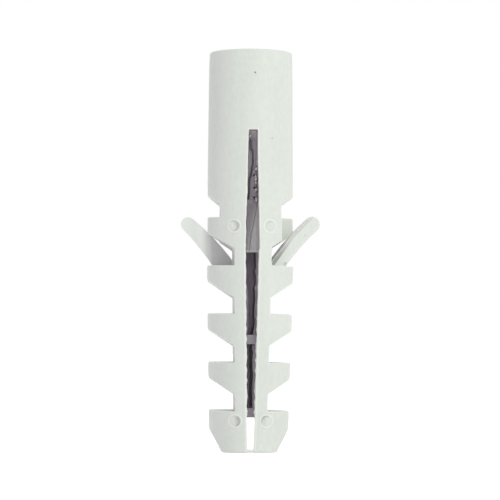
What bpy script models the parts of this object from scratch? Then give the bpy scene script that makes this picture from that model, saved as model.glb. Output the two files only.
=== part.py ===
"""A nylon wall plug, ten by fifty millimetres, moulded in one piece.

The plug stands upright on its tip, with +Z along its axis and -Y towards the
side that carries the ejector marks. The mould parted on the XZ plane, so every
cut made across the plug is narrowest there and opens towards front and back.

The order is the toolmaker's: a turned body, the teeth and the collar's lower
slope cut across it, a tapering screw bore, a slot made down to the tip by a
blade from each side, the thin film and the two ties that still join the
halves, the two locking wings with their pockets, and last the way the halves
lean together below the bore.
"""

import math

import bmesh
import bpy
from mathutils import Matrix, Vector

MM = 0.001

# Body, turned about the axis. It is widest at the bore's end, and narrower
# than there by a step at the mouth, under the collar and at the tip.
LENGTH = 50.0 * MM
TOOTH_RADIUS = 5.41 * MM
MOUTH_STEP = 0.22 * MM
COLLAR_STEP = 0.07 * MM
TIP_STEP = 0.10 * MM
MOUTH_RADIUS = TOOTH_RADIUS - MOUTH_STEP
COLLAR_RADIUS = TOOTH_RADIUS - COLLAR_STEP
TIP_RADIUS = TOOTH_RADIUS - TIP_STEP
MOUTH_EDGE = 0.22 * MM
TIP_EDGE = 0.15 * MM
BODY_SIDES = 64

# Teeth, counted upwards from the tip
TOOTH_COUNT = 5
FIRST_TOOTH_TOP = 5.22 * MM
TOOTH_PITCH = 6.01 * MM
TOOTH_LAND = 2.06 * MM
TOOTH_SLOPE = 1.95 * MM
RIGHT_TOP_FALL = math.radians(2.6)
RIGHT_UNDERSIDE_DROP = 0.14 * MM
LEFT_COLLAR_RISE = 0.12 * MM
CORE_HALF_WIDTH = 2.43 * MM
CORE_SHIFT = 0.16 * MM
NECK_HALF_WIDTH = 3.84 * MM
NECK_HEIGHT = 1.43 * MM
COLLAR_SLOPE = 1.09 * MM
TIP_CHAMFER_HEIGHT = 2.92 * MM
TIP_HALF_WIDTH = 3.83 * MM
FOOT_TRIM = 0.07 * MM
FOOT_LAND = 0.25 * MM
DRAFT = math.radians(1.45)

# Screw bore
BORE_RADIUS = 3.5 * MM
BORE_END = 25.15 * MM
BORE_TAPER_START = 42.5 * MM
BORE_END_RADIUS = 0.1 * MM
BORE_MOUTH_EDGE = 0.25 * MM
BORE_SIDES = 48

# Slot, before the halves lean: left edge, right edge and height in the
# parting plane, and at the front for the gap at the tip. The blade of the upper
# slot was worn, so its edges wander.
SLOT_TOP = 39.95 * MM
UPPER_SLOT = (
    (-0.69 * MM, 0.85 * MM, BORE_END),
    (-0.60 * MM, 0.79 * MM, 28.9 * MM),
    (-0.43 * MM, 0.75 * MM, 32.6 * MM),
    (-0.39 * MM, 0.60 * MM, 36.4 * MM),
    (-0.28 * MM, 0.58 * MM, SLOT_TOP),
)
LOWER_SLOT = (-0.67 * MM, 0.75 * MM)
TIP_GAP_BOTTOM = (-0.76 * MM, 0.78 * MM)
TIP_GAP_TOP = (-0.76 * MM, 0.90 * MM)
TIP_GAP_FLARE = math.radians(3.0)
TIE_HEIGHT = 1.16 * MM
LOWER_TIE_BOTTOM = 4.31 * MM
UPPER_TIE_BOTTOM = 13.4 * MM
LOWER_TIE_FRONT = 2.8 * MM
UPPER_TIE_FRONT = 4.2 * MM
TIE_ROOT = 0.5 * MM
FILM_DEPTH = 2.0 * MM
FILM_THICKNESS = 0.3 * MM
FILM_LAP = 0.3 * MM
BORE_FILM = 0.4 * MM
GROOVE_FLOOR = 1.0 * MM
GROOVE_INSET = 0.03 * MM

# Locking wings and their pockets
RIGHT_WING_ROOT = (3.52 * MM, 23.67 * MM)
LEFT_WING_ROOT = (3.59 * MM, 23.61 * MM)
WING_ROOT_ANGLE = math.radians(55.1)
WING_CURL = math.radians(2.04) / MM
RIGHT_WING_LENGTH = 6.45 * MM
LEFT_WING_LENGTH = 6.4 * MM
RIGHT_WING_WIDTHS = (2.11 * MM, 1.98 * MM)
LEFT_WING_WIDTHS = (2.48 * MM, 1.82 * MM)
WING_THICKNESS = 3.2 * MM
WING_DRAFT = math.radians(5.0)
WING_EMBED = 1.2 * MM
WING_STATIONS = 7
WING_END_STEPS = 8
PARTING_GAP = 0.12 * MM
POCKET_HALF_WIDTH = 3.9 * MM

# Ejector marks
MARK_RADIUS = 0.64 * MM
MARK_DEPTH = 0.16 * MM
MARK_OFFSET = 2.27 * MM
MARK_TILT = math.radians(13.0)
UPPER_MARK_HEIGHT = 28.0 * MM
LOWER_MARK_HEIGHT = 3.93 * MM
MARK_SIDES = 28

# The halves lean together below the end of the bore, and below the collar
# both have drifted to the right
LEFT_LEAN = math.radians(0.65)
RIGHT_LEAN = math.radians(1.2)
DRIFT = 0.06 * MM

# Cutters reach this far past what they cut
REACH = 1.5 * MM
OUTSIDE = TOOTH_RADIUS + REACH

# Corners nearer to each other than this are one corner
SAME_PLACE = 0.002 * MM

NYLON_COLOUR = (0.76, 0.79, 0.74, 1.0)
NYLON_ROUGHNESS = 0.42


def clear_scene():
    """Remove every object, so that a second run starts from nothing."""
    for old in list(bpy.data.objects):
        bpy.data.objects.remove(old, do_unlink=True)


def new_collection(name):
    """Make a collection in the scene."""
    made = bpy.data.collections.new(name)
    bpy.context.scene.collection.children.link(made)
    return made


def nylon_material():
    """Near-white natural nylon, satin where the mould was polished."""
    material = bpy.data.materials.new("natural_nylon")
    material.use_nodes = True
    shader = material.node_tree.nodes["Principled BSDF"]
    shader.inputs["Base Color"].default_value = NYLON_COLOUR
    shader.inputs["Roughness"].default_value = NYLON_ROUGHNESS
    shader.inputs["Metallic"].default_value = 0.0
    return material


def mesh_object(name, bm, collection):
    """Turn a bmesh into an object with its faces pointing out."""
    bmesh.ops.recalc_face_normals(bm, faces=bm.faces[:])
    mesh = bpy.data.meshes.new(name)
    bm.to_mesh(mesh)
    bm.free()
    made = bpy.data.objects.new(name, mesh)
    collection.objects.link(made)
    return made


def turned(name, profile, sides, collection):
    """Turn a profile of (radius, height) pairs about the axis, top to bottom.

    The profile stands half a facet off +X, so that no edge of the turned
    surface lies in the parting plane.
    """
    start = math.pi / sides
    bm = bmesh.new()
    verts = [
        bm.verts.new((r * math.cos(start), r * math.sin(start), z))
        for r, z in profile
    ]
    for upper, lower in zip(verts, verts[1:]):
        bm.edges.new((upper, lower))
    mesh = bpy.data.meshes.new(name)
    bm.to_mesh(mesh)
    bm.free()
    made = bpy.data.objects.new(name, mesh)
    collection.objects.link(made)
    screw = made.modifiers.new("turn", "SCREW")
    screw.axis = "Z"
    screw.steps = sides
    screw.render_steps = sides
    screw.use_merge_vertices = True
    screw.merge_threshold = 5.0 * SAME_PLACE
    return made


def rounded_corner(radius, height, edge, rising, steps=4):
    """Give the points of a quarter round on a turned profile's corner."""
    points = []
    for step in range(steps + 1):
        turn = 0.5 * math.pi * step / steps
        out = radius - edge + edge * math.sin(turn)
        up = edge * (1.0 - math.cos(turn))
        points.append((out, height - up if rising else height + up))
    return points if rising else points[::-1]


def make_body(collection):
    """Turn the plug's outside: it swells slightly down to the bore's end."""
    collar_bottom = neck_bottom() + NECK_HEIGHT + COLLAR_SLOPE
    profile = [(0.0, LENGTH)]
    profile += rounded_corner(MOUTH_RADIUS, LENGTH, MOUTH_EDGE, rising=True)
    profile += [
        (COLLAR_RADIUS, collar_bottom),
        (TOOTH_RADIUS, BORE_END),
    ]
    profile += rounded_corner(TIP_RADIUS, 0.0, TIP_EDGE, rising=False, steps=2)
    profile.append((0.0, 0.0))
    return turned("plug_body", profile, BODY_SIDES, collection)


def tooth_top(index):
    """Height of a tooth's flat top, counted from the tip."""
    return FIRST_TOOTH_TOP + index * TOOTH_PITCH


def neck_bottom():
    """The neck under the collar stands on the top of the highest tooth."""
    return tooth_top(TOOTH_COUNT - 1)


def moved_out(outline, distance):
    """Move each side of a closed XZ outline outwards and give its corners."""
    area = sum(
        a[0] * b[1] - b[0] * a[1]
        for a, b in zip(outline, outline[1:] + outline[:1])
    )
    sign = 1.0 if area > 0.0 else -1.0
    moved = []
    count = len(outline)
    for index, corner in enumerate(outline):
        here = Vector(corner)
        before = (here - Vector(outline[index - 1])).normalized()
        after = (Vector(outline[(index + 1) % count]) - here).normalized()
        normal_before = Vector((before.y, -before.x)) * sign
        normal_after = Vector((after.y, -after.x)) * sign
        share = 1.0 + normal_before.dot(normal_after)
        moved.append(here + (normal_before + normal_after) * (distance / share))
    return moved


def loft(name, rings, collection):
    """Join rings of as many corners each into one closed solid."""
    bm = bmesh.new()
    levels = [[bm.verts.new(corner) for corner in ring] for ring in rings]
    count = len(levels[0])
    for near, far in zip(levels, levels[1:]):
        for index in range(count):
            follow = (index + 1) % count
            bm.faces.new((near[index], near[follow], far[follow], far[index]))
    bm.faces.new(levels[0][::-1])
    bm.faces.new(levels[-1])
    return mesh_object(name, bm, collection)


def drafted_prism(name, outline, levels, draft, collection):
    """Carry an XZ outline along Y, wider or narrower with each level.

    Each level is a pair: its Y, and how far along the draft it lies, which is
    positive where the outline grows.
    """
    rings = []
    for depth, run in levels:
        ring = moved_out(outline, run * math.tan(draft))
        rings.append([(x, depth, z) for x, z in ring])
    return loft(name, rings, collection)


def across(name, outline, collection):
    """A cutter right across the plug, narrowest in the parting plane."""
    levels = [(-OUTSIDE, OUTSIDE), (0.0, 0.0), (OUTSIDE, OUTSIDE)]
    return drafted_prism(name, outline, levels, DRAFT, collection)


def mirrored(outline, side):
    """Put an outline drawn on the right on the side that is asked for."""
    return [(side * x, z) for x, z in outline]


def cut_teeth(cutters):
    """Cut the gaps between the teeth, the neck and the tip's chamfers.

    Below the bore's end the right half has swung a little: the tops of its
    teeth fall towards the outside, and their undersides lie lower.
    """
    for side, word, top_fall, drop, collar_rise in (
        (1.0, "right", math.tan(RIGHT_TOP_FALL), RIGHT_UNDERSIDE_DROP, 0.0),
        (-1.0, "left", 0.0, 0.0, LEFT_COLLAR_RISE),
    ):
        core = CORE_HALF_WIDTH + side * CORE_SHIFT
        fall = TOOTH_SLOPE / (TOOTH_RADIUS - CORE_HALF_WIDTH)
        for index in range(TOOTH_COUNT - 1):
            floor = tooth_top(index)
            corner = tooth_top(index + 1) - TOOTH_LAND
            if corner < BORE_END:
                corner -= drop
            outline = [
                (core, floor),
                (OUTSIDE, floor - top_fall * (OUTSIDE - core)),
                (OUTSIDE, corner + fall * (OUTSIDE - TOOTH_RADIUS)),
                (core, corner - fall * (TOOTH_RADIUS - core)),
            ]
            across(f"gap_{word}_{index}", mirrored(outline, side), cutters)
        rise = COLLAR_SLOPE / (COLLAR_RADIUS - NECK_HALF_WIDTH)
        floor = neck_bottom()
        ceiling = neck_bottom() + NECK_HEIGHT + collar_rise
        outline = [
            (NECK_HALF_WIDTH, floor),
            (OUTSIDE, floor - top_fall * (OUTSIDE - NECK_HALF_WIDTH)),
            (OUTSIDE, ceiling + rise * (OUTSIDE - NECK_HALF_WIDTH)),
            (NECK_HALF_WIDTH, ceiling),
        ]
        across(f"neck_{word}", mirrored(outline, side), cutters)
        run = (TOOTH_RADIUS - TIP_HALF_WIDTH) / TIP_CHAMFER_HEIGHT
        outline = [
            (TIP_HALF_WIDTH - run * REACH, -REACH),
            (OUTSIDE, -REACH),
            (OUTSIDE, TIP_CHAMFER_HEIGHT + (OUTSIDE - TOOTH_RADIUS) / run),
        ]
        across(f"tip_{word}", mirrored(outline, side), cutters)
    foot_end = TIP_HALF_WIDTH - FOOT_LAND
    outline = [
        (0.0, -REACH),
        (foot_end + REACH * foot_end / FOOT_TRIM, -REACH),
        (0.0, FOOT_TRIM),
    ]
    across("foot_right", outline, cutters)


def cut_bore(cutters):
    """Turn the screw bore: straight at its mouth, then tapering to an end."""
    profile = [
        (0.0, LENGTH + REACH),
        (BORE_RADIUS + BORE_MOUTH_EDGE, LENGTH + REACH),
        (BORE_RADIUS + BORE_MOUTH_EDGE, LENGTH),
        (BORE_RADIUS, LENGTH - BORE_MOUTH_EDGE),
        (BORE_RADIUS, BORE_TAPER_START),
        (BORE_END_RADIUS, BORE_END),
        (0.0, BORE_END),
    ]
    turned("bore", profile, BORE_SIDES, cutters)


def bore_radius_at(height):
    """Radius of the bore's taper at a height between its two ends."""
    share = (height - BORE_END) / (BORE_TAPER_START - BORE_END)
    return BORE_END_RADIUS + share * (BORE_RADIUS - BORE_END_RADIUS)


def blade(name, sections, collection):
    """Loft a slot cutter from front to back.

    Each section is a depth and the slot's outline there, from its lowest
    corners to its highest, each pair as (left, right, height).
    """
    rings = []
    for depth, pairs in sections:
        left = [(low, depth, z) for low, high, z in pairs]
        right = [(high, depth, z) for low, high, z in pairs[::-1]]
        rings.append(left + right)
    loft(name, rings, collection)


def widened(edges, amount):
    """Move a slot's left edge to the left and its right edge to the right."""
    return (edges[0] - amount, edges[1] + amount)


def cut_slot(cutters):
    """Make the slot: from the front into the bore, and below it right through.

    The upper blade stops at the parting plane. The lower one is narrowest
    there and goes on to the back. Below the lower tie the gap is made from
    the back alone, so it is narrowest at the front and flares steadily.
    """
    grow = OUTSIDE * math.tan(DRAFT)
    upper = []
    for depth, widen in ((-OUTSIDE, grow), (0.0, 0.0)):
        pairs = [(*widened(pair[:2], widen), pair[2]) for pair in UPPER_SLOT]
        upper.append((depth, pairs))
    blade("slot_upper", upper, cutters)
    split = LOWER_TIE_BOTTOM + 0.5 * TIE_HEIGHT
    lower = []
    for depth, widen in ((-OUTSIDE, grow), (0.0, 0.0), (OUTSIDE, grow)):
        edges = widened(LOWER_SLOT, widen)
        bottom = (*edges, split - SAME_PLACE)
        top = (*edges, BORE_END + SAME_PLACE)
        lower.append((depth, [bottom, top]))
    blade("slot_lower", lower, cutters)
    gap = []
    for depth in (-OUTSIDE, OUTSIDE):
        flare = (depth + TIP_RADIUS) * math.tan(TIP_GAP_FLARE)
        foot = widened(TIP_GAP_BOTTOM, flare)
        bottom = (*foot, -REACH)
        middle = (*foot, 0.0)
        top = (*widened(TIP_GAP_TOP, flare), split)
        gap.append((depth, [bottom, middle, top]))
    blade("tip_gap", gap, cutters)


def cut_back_groove(cutters):
    """Make the groove opposite the slot, whose floor is the bore's film.

    The floor slopes with the bore, so the film over it keeps its thickness.
    """
    grow = OUTSIDE * math.tan(DRAFT)
    top_floor = bore_radius_at(SLOT_TOP) + BORE_FILM
    bottom = BORE_END - TIE_HEIGHT
    groove = []
    for top_depth, bottom_depth, widen in (
        (OUTSIDE, OUTSIDE, grow),
        (top_floor, GROOVE_FLOOR, 0.0),
    ):
        low = widened(LOWER_SLOT, widen - GROOVE_INSET)
        high = widened(UPPER_SLOT[-1][:2], widen)
        groove.append([
            (-low[1], bottom_depth, bottom),
            (-low[0], bottom_depth, bottom),
            (-high[0], top_depth, SLOT_TOP),
            (-high[1], top_depth, SLOT_TOP),
        ])
    loft("back_groove", groove, cutters)


def cut_pockets(cutters):
    """Clear the highest tooth where each wing will fold in.

    The right wing lies in the front half and the left one in the back half,
    so a half turn about the axis carries one pocket onto the other.
    """
    top = neck_bottom()
    outline = [
        (POCKET_HALF_WIDTH, top - TOOTH_PITCH + REACH),
        (OUTSIDE, top - TOOTH_PITCH + REACH),
        (OUTSIDE, top + 0.5 * NECK_HEIGHT),
        (POCKET_HALF_WIDTH, top + 0.5 * NECK_HEIGHT),
    ]
    for side, word in ((1.0, "right"), (-1.0, "left")):
        levels = [
            (-side * OUTSIDE, OUTSIDE),
            (side * PARTING_GAP, 0.0),
        ]
        drafted_prism(f"pocket_{word}", mirrored(outline, side), levels, DRAFT, cutters)


def cut_marks(cutters):
    """Press the four ejector marks into the front, tilted with its surface."""
    for level, height in (
        ("lower", LOWER_MARK_HEIGHT),
        ("upper", UPPER_MARK_HEIGHT),
    ):
        for side, word in ((1.0, "right"), (-1.0, "left")):
            x = side * MARK_OFFSET
            surface = -math.sqrt(TOOTH_RADIUS ** 2 - x ** 2)
            bm = bmesh.new()
            bmesh.ops.create_cone(
                bm, cap_ends=True, segments=MARK_SIDES,
                radius1=MARK_RADIUS, radius2=MARK_RADIUS, depth=2.0 * REACH,
            )
            turn = Matrix.Rotation(math.radians(90.0), 4, "X")
            tilt = Matrix.Rotation(side * MARK_TILT, 4, "Z")
            place = Matrix.Translation((x, surface + MARK_DEPTH, height))
            bm.transform(place @ tilt @ Matrix.Translation((0.0, -REACH, 0.0)) @ turn)
            mesh_object(f"mark_{level}_{word}", bm, cutters)


def wing_outline(root, length, widths):
    """The right wing seen from the front: a bar that curls out to a round end.

    Its middle line starts at the root, leans by the root's angle and turns
    by a steady curl. The bar's width goes evenly from the root's to the tip's.
    """
    root = Vector(root)
    upper = []
    lower = []
    for station in range(WING_STATIONS):
        along = station / (WING_STATIONS - 1)
        run = -WING_EMBED + (length + WING_EMBED) * along
        if run < 0.0:
            heading = WING_ROOT_ANGLE
            middle = root + Vector((math.cos(heading), math.sin(heading))) * run
        else:
            heading = WING_ROOT_ANGLE - WING_CURL * run
            middle = root + Vector((
                (math.sin(WING_ROOT_ANGLE) - math.sin(heading)) / WING_CURL,
                (math.cos(heading) - math.cos(WING_ROOT_ANGLE)) / WING_CURL,
            ))
        share = max(run, 0.0) / length
        half = 0.5 * (widths[0] + share * (widths[1] - widths[0]))
        side = Vector((-math.sin(heading), math.cos(heading)))
        upper.append(middle + side * half)
        lower.append(middle - side * half)
    end = []
    for step in range(1, WING_END_STEPS):
        turn = heading - 0.5 * math.pi + math.pi * step / WING_END_STEPS
        end.append(middle + Vector((math.cos(turn), math.sin(turn))) * half)
    return [tuple(p) for p in lower + end + upper[::-1]]


def make_wings(additions):
    """Grow a wing from each side's second tooth, in opposite halves."""
    for side, word, root, length, widths in (
        (1.0, "right", RIGHT_WING_ROOT, RIGHT_WING_LENGTH, RIGHT_WING_WIDTHS),
        (-1.0, "left", LEFT_WING_ROOT, LEFT_WING_LENGTH, LEFT_WING_WIDTHS),
    ):
        outline = mirrored(wing_outline(root, length, widths), side)
        levels = [
            (-side * PARTING_GAP, 0.0),
            (-side * (PARTING_GAP + WING_THICKNESS), -WING_THICKNESS),
        ]
        drafted_prism(f"wing_{word}", outline, levels, WING_DRAFT, additions)


def make_ties(additions):
    """Span the slot with its film and with the two ties between the halves."""
    left, right = widened(LOWER_SLOT, TIE_ROOT)
    film_back = FILM_DEPTH + FILM_THICKNESS
    tie_back = FILM_DEPTH + 0.5 * FILM_THICKNESS
    film_bottom = LOWER_TIE_BOTTOM + FILM_LAP
    film_top = BORE_END + FILM_LAP
    spans = [("film", FILM_DEPTH, film_back, film_bottom, film_top)]
    for name, front, bottom in (
        ("lower_tie", LOWER_TIE_FRONT, LOWER_TIE_BOTTOM),
        ("upper_tie", UPPER_TIE_FRONT, UPPER_TIE_BOTTOM),
    ):
        spans.append((name, -front, tie_back, bottom, bottom + TIE_HEIGHT))
    for name, front, back, bottom, top in spans:
        corners = [(left, bottom), (right, bottom), (right, top), (left, top)]
        rings = [[(x, depth, z) for x, z in corners] for depth in (front, back)]
        loft(name, rings, additions)


def join_all(body, operation, collection):
    """Cut or join a collection's solids on the body, one after another."""
    for other in collection.objects:
        step = body.modifiers.new(other.name, "BOOLEAN")
        step.operation = operation
        step.solver = "EXACT"
        step.object = other
        other.hide_render = True
        other.display_type = "WIRE"


def bake(body):
    """Replace the body's mesh with what its modifiers make of it."""
    graph = bpy.context.evaluated_depsgraph_get()
    mesh = bpy.data.meshes.new_from_object(body.evaluated_get(graph))
    body.modifiers.clear()
    body.data = mesh
    return body


def close_halves(body):
    """Let the halves drift and lean, and centre the plug over its footprint.

    The drift grows evenly from the collar down to the bore's end and then
    stays. Below that height each half turns about its own hinge: a point
    under it moves towards the slot by its distance times the lean's tangent.
    """
    bm = bmesh.new()
    bm.from_mesh(body.data)
    drift_top = neck_bottom() + NECK_HEIGHT
    for height in (BORE_END, drift_top):
        bmesh.ops.bisect_plane(
            bm, geom=bm.verts[:] + bm.edges[:] + bm.faces[:], dist=SAME_PLACE,
            plane_co=(0.0, 0.0, height), plane_no=(0.0, 0.0, 1.0),
        )
    for vert in bm.verts:
        if vert.co.z >= drift_top:
            continue
        under = max(BORE_END - vert.co.z, 0.0)
        right_half = vert.co.x > CORE_SHIFT
        share = (drift_top - vert.co.z) / (drift_top - BORE_END)
        vert.co.x += DRIFT * min(share, 1.0)
        if right_half:
            vert.co.x -= under * math.tan(RIGHT_LEAN)
        else:
            vert.co.x += under * math.tan(LEFT_LEAN)
    across_plug = [vert.co.x for vert in bm.verts]
    centre = 0.5 * (min(across_plug) + max(across_plug))
    for vert in bm.verts:
        vert.co.x -= centre
    bmesh.ops.remove_doubles(bm, verts=bm.verts[:], dist=SAME_PLACE)
    bmesh.ops.dissolve_degenerate(bm, edges=bm.edges[:], dist=SAME_PLACE)
    bmesh.ops.recalc_face_normals(bm, faces=bm.faces[:])
    bm.to_mesh(body.data)
    bm.free()


def main():
    clear_scene()
    plug = new_collection("wall_plug")
    cutters = new_collection("cutters")
    additions = new_collection("additions")
    body = make_body(plug)
    cut_teeth(cutters)
    cut_bore(cutters)
    cut_slot(cutters)
    cut_back_groove(cutters)
    cut_pockets(cutters)
    cut_marks(cutters)
    make_ties(additions)
    make_wings(additions)
    join_all(body, "DIFFERENCE", cutters)
    join_all(body, "UNION", additions)
    bake(body)
    close_halves(body)
    body.data.materials.clear()
    body.data.materials.append(nylon_material())
    body.data.shade_smooth()
    body.data.set_sharp_from_angle(angle=math.radians(30.0))


main()
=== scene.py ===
# %% [markdown]
# # A nylon wall plug, dressed for its portrait
#
# The real plug is one injection moulding of natural nylon, ten millimetres
# thick and fifty long. The imported solid already has its shape: collar, teeth,
# slot, ties and wings. What a solid lacks is what a mould leaves behind: the
# small rounding of every edge, a burr round each ejector mark, a ridge where
# the mould parted, torn films inside the slot, and specks in the material.
# This lesson adds those, one cell at a time, and lights them softly.
#
# The imported model is loaded first, because every new piece takes its place
# from it.

# %% Load the imported plug
import math

import bmesh
import bpy
import numpy as np
from mathutils import Matrix, Vector


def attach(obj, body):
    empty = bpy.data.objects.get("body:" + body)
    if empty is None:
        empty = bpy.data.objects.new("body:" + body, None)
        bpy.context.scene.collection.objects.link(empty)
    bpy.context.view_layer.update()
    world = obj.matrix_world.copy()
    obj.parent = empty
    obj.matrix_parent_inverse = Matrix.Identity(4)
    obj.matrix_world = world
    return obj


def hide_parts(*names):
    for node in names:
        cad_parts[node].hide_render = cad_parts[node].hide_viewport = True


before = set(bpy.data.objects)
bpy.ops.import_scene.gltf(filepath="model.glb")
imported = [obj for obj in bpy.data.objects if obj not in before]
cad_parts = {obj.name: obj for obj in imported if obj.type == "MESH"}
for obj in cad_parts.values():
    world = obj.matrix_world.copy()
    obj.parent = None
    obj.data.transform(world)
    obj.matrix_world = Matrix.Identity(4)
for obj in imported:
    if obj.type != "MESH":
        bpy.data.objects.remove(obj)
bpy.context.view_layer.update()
MM = 0.001
cad_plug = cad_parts["plug_body"]


def grid(rows, columns):
    """Spread two lists of values over a grid: rows down, columns across."""
    return np.meshgrid(rows, columns, indexing="ij")


# %% [markdown]
# ## The camera
#
# The plug was photographed nearly square to its front, from about thirty
# centimetres away through a long lens. How high the camera stood shows at the
# teeth: the tops of the second and third from the tip are straight lines, so
# the lens was level with them. From there the rim of the mouth is seen a
# little from below and arches, and the tip's top is seen a little from above.
# The camera therefore stands low and looks up by two degrees, and it is
# turned by two degrees to the left. The picture leans by a third of a degree,
# which is a roll of the camera and not a lean of the plug.

# %% Camera
CAMERA_DISTANCE = 290.0 * MM
CAMERA_TURN = math.radians(2.2)
CAMERA_HEIGHT = 14.5 * MM
AIM_HEIGHT = 25.215 * MM
AIM_ASIDE = -0.04 * MM
PICTURE_LEAN = math.radians(0.3)
LENS = 166.3
SENSOR = 36.0

scene = bpy.context.scene
scene.view_settings.view_transform = "Standard"


def stand_camera():
    """Put the camera on a circle round the plug and roll it a little.

    Place = target - distance * (sin turn, cos turn, 0), at the camera's own
    height, looking at the target.
    """
    target = Vector((AIM_ASIDE, 0.0, AIM_HEIGHT))
    back = Vector((math.sin(CAMERA_TURN), math.cos(CAMERA_TURN), 0.0))
    place = target - back * CAMERA_DISTANCE
    place.z = CAMERA_HEIGHT
    lens = bpy.data.cameras.new("portrait_lens")
    lens.lens = LENS
    lens.sensor_width = SENSOR
    lens.clip_start = 0.01
    camera = bpy.data.objects.new("portrait_camera", lens)
    scene.collection.objects.link(camera)
    look = (target - place).to_track_quat("-Z", "Y").to_matrix().to_4x4()
    roll = Matrix.Rotation(PICTURE_LEAN, 4, "Z")
    camera.matrix_world = Matrix.Translation(place) @ look @ roll
    return camera


scene.camera = stand_camera()
camera_place = scene.camera.matrix_world.translation
print("camera at, mm:", [round(v / MM, 1) for v in camera_place])

# %% [markdown]
# ## Daylight all round, and two soft lamps
#
# The photograph is flat and bright: a white surround gives most of the light,
# and a large soft box to the right of the camera gives the rest. Its light is
# slightly green and the surround's is slightly purple, so the plug's left
# side is greyer than its right side, and no longer green. A weak second box
# further right keeps the outer flanks from falling off.
#
# A lamp's power says little by itself. Here each lamp is given the share of
# brightness that it adds to a white surface that faces it, and the power
# follows: share times pi squared times the distance squared. The shares and
# the surround add up to about one, so a colour renders about as it is written.
# The surround is white where the camera or a reflection sees it, through
# Light Path, while the plug is lit by a slightly weaker, cooler one.

# %% Surround and lamps
SURROUND_COLOUR = (0.98, 0.942, 1.0, 1.0)
SURROUND_STRENGTH = 0.733
WHITE = (1.0, 1.0, 1.0, 1.0)
LAMP_DISTANCE = 0.55
LAMP_COLOUR = (0.91, 1.0, 0.83)


def set_input(tree, slot, value):
    """Link a socket to an input, or write a plain value in it."""
    if isinstance(value, bpy.types.NodeSocket):
        tree.links.new(value, slot)
    else:
        slot.default_value = value


def add_math(tree, operation, *values):
    """Add a Math node whose inputs are sockets or plain numbers."""
    node = tree.nodes.new("ShaderNodeMath")
    node.operation = operation
    for slot, value in zip(node.inputs, values):
        set_input(tree, slot, value)
    return node.outputs[0]


def seen_not_lighting(tree):
    """Give a socket that is one for camera, glossy and transmission rays."""
    rays = tree.nodes.new("ShaderNodeLightPath").outputs
    seen = add_math(tree, "MAXIMUM", rays["Is Camera Ray"], rays["Is Glossy Ray"])
    return add_math(tree, "MAXIMUM", seen, rays["Is Transmission Ray"])


def light_surround():
    """A dim cool world for the plug, and a white one for the eye."""
    world = bpy.data.worlds.new("studio_surround")
    scene.world = world
    world.use_nodes = True
    tree = world.node_tree
    lit = tree.nodes["Background"]
    lit.inputs["Color"].default_value = SURROUND_COLOUR
    lit.inputs["Strength"].default_value = SURROUND_STRENGTH
    seen = tree.nodes.new("ShaderNodeBackground")
    seen.inputs["Color"].default_value = WHITE
    seen.inputs["Strength"].default_value = 1.0
    mix = tree.nodes.new("ShaderNodeMixShader")
    tree.links.new(seen_not_lighting(tree), mix.inputs[0])
    tree.links.new(lit.outputs[0], mix.inputs[1])
    tree.links.new(seen.outputs[0], mix.inputs[2])
    tree.links.new(mix.outputs[0], tree.nodes["World Output"].inputs["Surface"])


def soft_lamp(name, azimuth, elevation, size, share):
    """Hang a square soft box that faces the middle of the plug.

    Azimuth turns from the front towards the right. Power is
    share * pi^2 * distance^2, in watts.
    """
    data = bpy.data.lights.new(name, "AREA")
    data.shape = "SQUARE"
    data.size = size
    data.energy = share * math.pi ** 2 * LAMP_DISTANCE ** 2
    data.color = LAMP_COLOUR
    lamp = bpy.data.objects.new(name, data)
    scene.collection.objects.link(lamp)
    turn = math.radians(azimuth)
    rise = math.radians(elevation)
    aim = Vector((
        math.sin(turn) * math.cos(rise),
        -math.cos(turn) * math.cos(rise),
        math.sin(rise),
    ))
    middle = Vector((0.0, 0.0, AIM_HEIGHT))
    look = (-aim).to_track_quat("-Z", "Y").to_matrix().to_4x4()
    lamp.matrix_world = Matrix.Translation(middle + aim * LAMP_DISTANCE) @ look
    print(name, "gives", share, "with", round(data.energy, 2), "W")


light_surround()
soft_lamp("key_box", azimuth=33.0, elevation=30.0, size=0.26, share=0.284)
soft_lamp("flank_box", azimuth=78.0, elevation=12.0, size=0.30, share=0.03)

# %% [markdown]
# ## The floor
#
# The plug stands on its tip on a pale sheet. In the photograph the sheet is
# burnt out to white. Stronger lamps would do that to the plug as well, so the
# floor itself glows a little, only for the camera and for reflections. The
# glow is weak enough that the soft contact shadow under the tip stays.

# %% Floor
FLOOR_REACH = 1.5
FLOOR_WHITE = (0.9, 0.9, 0.9, 1.0)
FLOOR_ROUGHNESS = 0.9
FLOOR_SPECULAR = 0.1
FLOOR_GLOW = 0.62


def lay_floor():
    """A flat square sheet at height zero: P(u, v) = reach * (u, v, 0)."""
    u, v = grid([-1.0, 1.0], [-1.0, 1.0])
    corners = np.stack([u, v, 0.0 * u], axis=-1).reshape(-1, 3) * FLOOR_REACH
    mesh = bpy.data.meshes.new("studio_floor")
    mesh.from_pydata(corners.tolist(), [], [(0, 2, 3, 1)])
    floor = bpy.data.objects.new("studio_floor", mesh)
    scene.collection.objects.link(floor)
    paint = bpy.data.materials.new("white_sheet")
    paint.use_nodes = True
    tree = paint.node_tree
    shader = tree.nodes["Principled BSDF"]
    shader.inputs["Base Color"].default_value = FLOOR_WHITE
    shader.inputs["Roughness"].default_value = FLOOR_ROUGHNESS
    shader.inputs["Specular IOR Level"].default_value = FLOOR_SPECULAR
    shader.inputs["Emission Color"].default_value = WHITE
    glow = add_math(tree, "MULTIPLY", seen_not_lighting(tree), FLOOR_GLOW)
    tree.links.new(glow, shader.inputs["Emission Strength"])
    mesh.materials.append(paint)


lay_floor()
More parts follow.
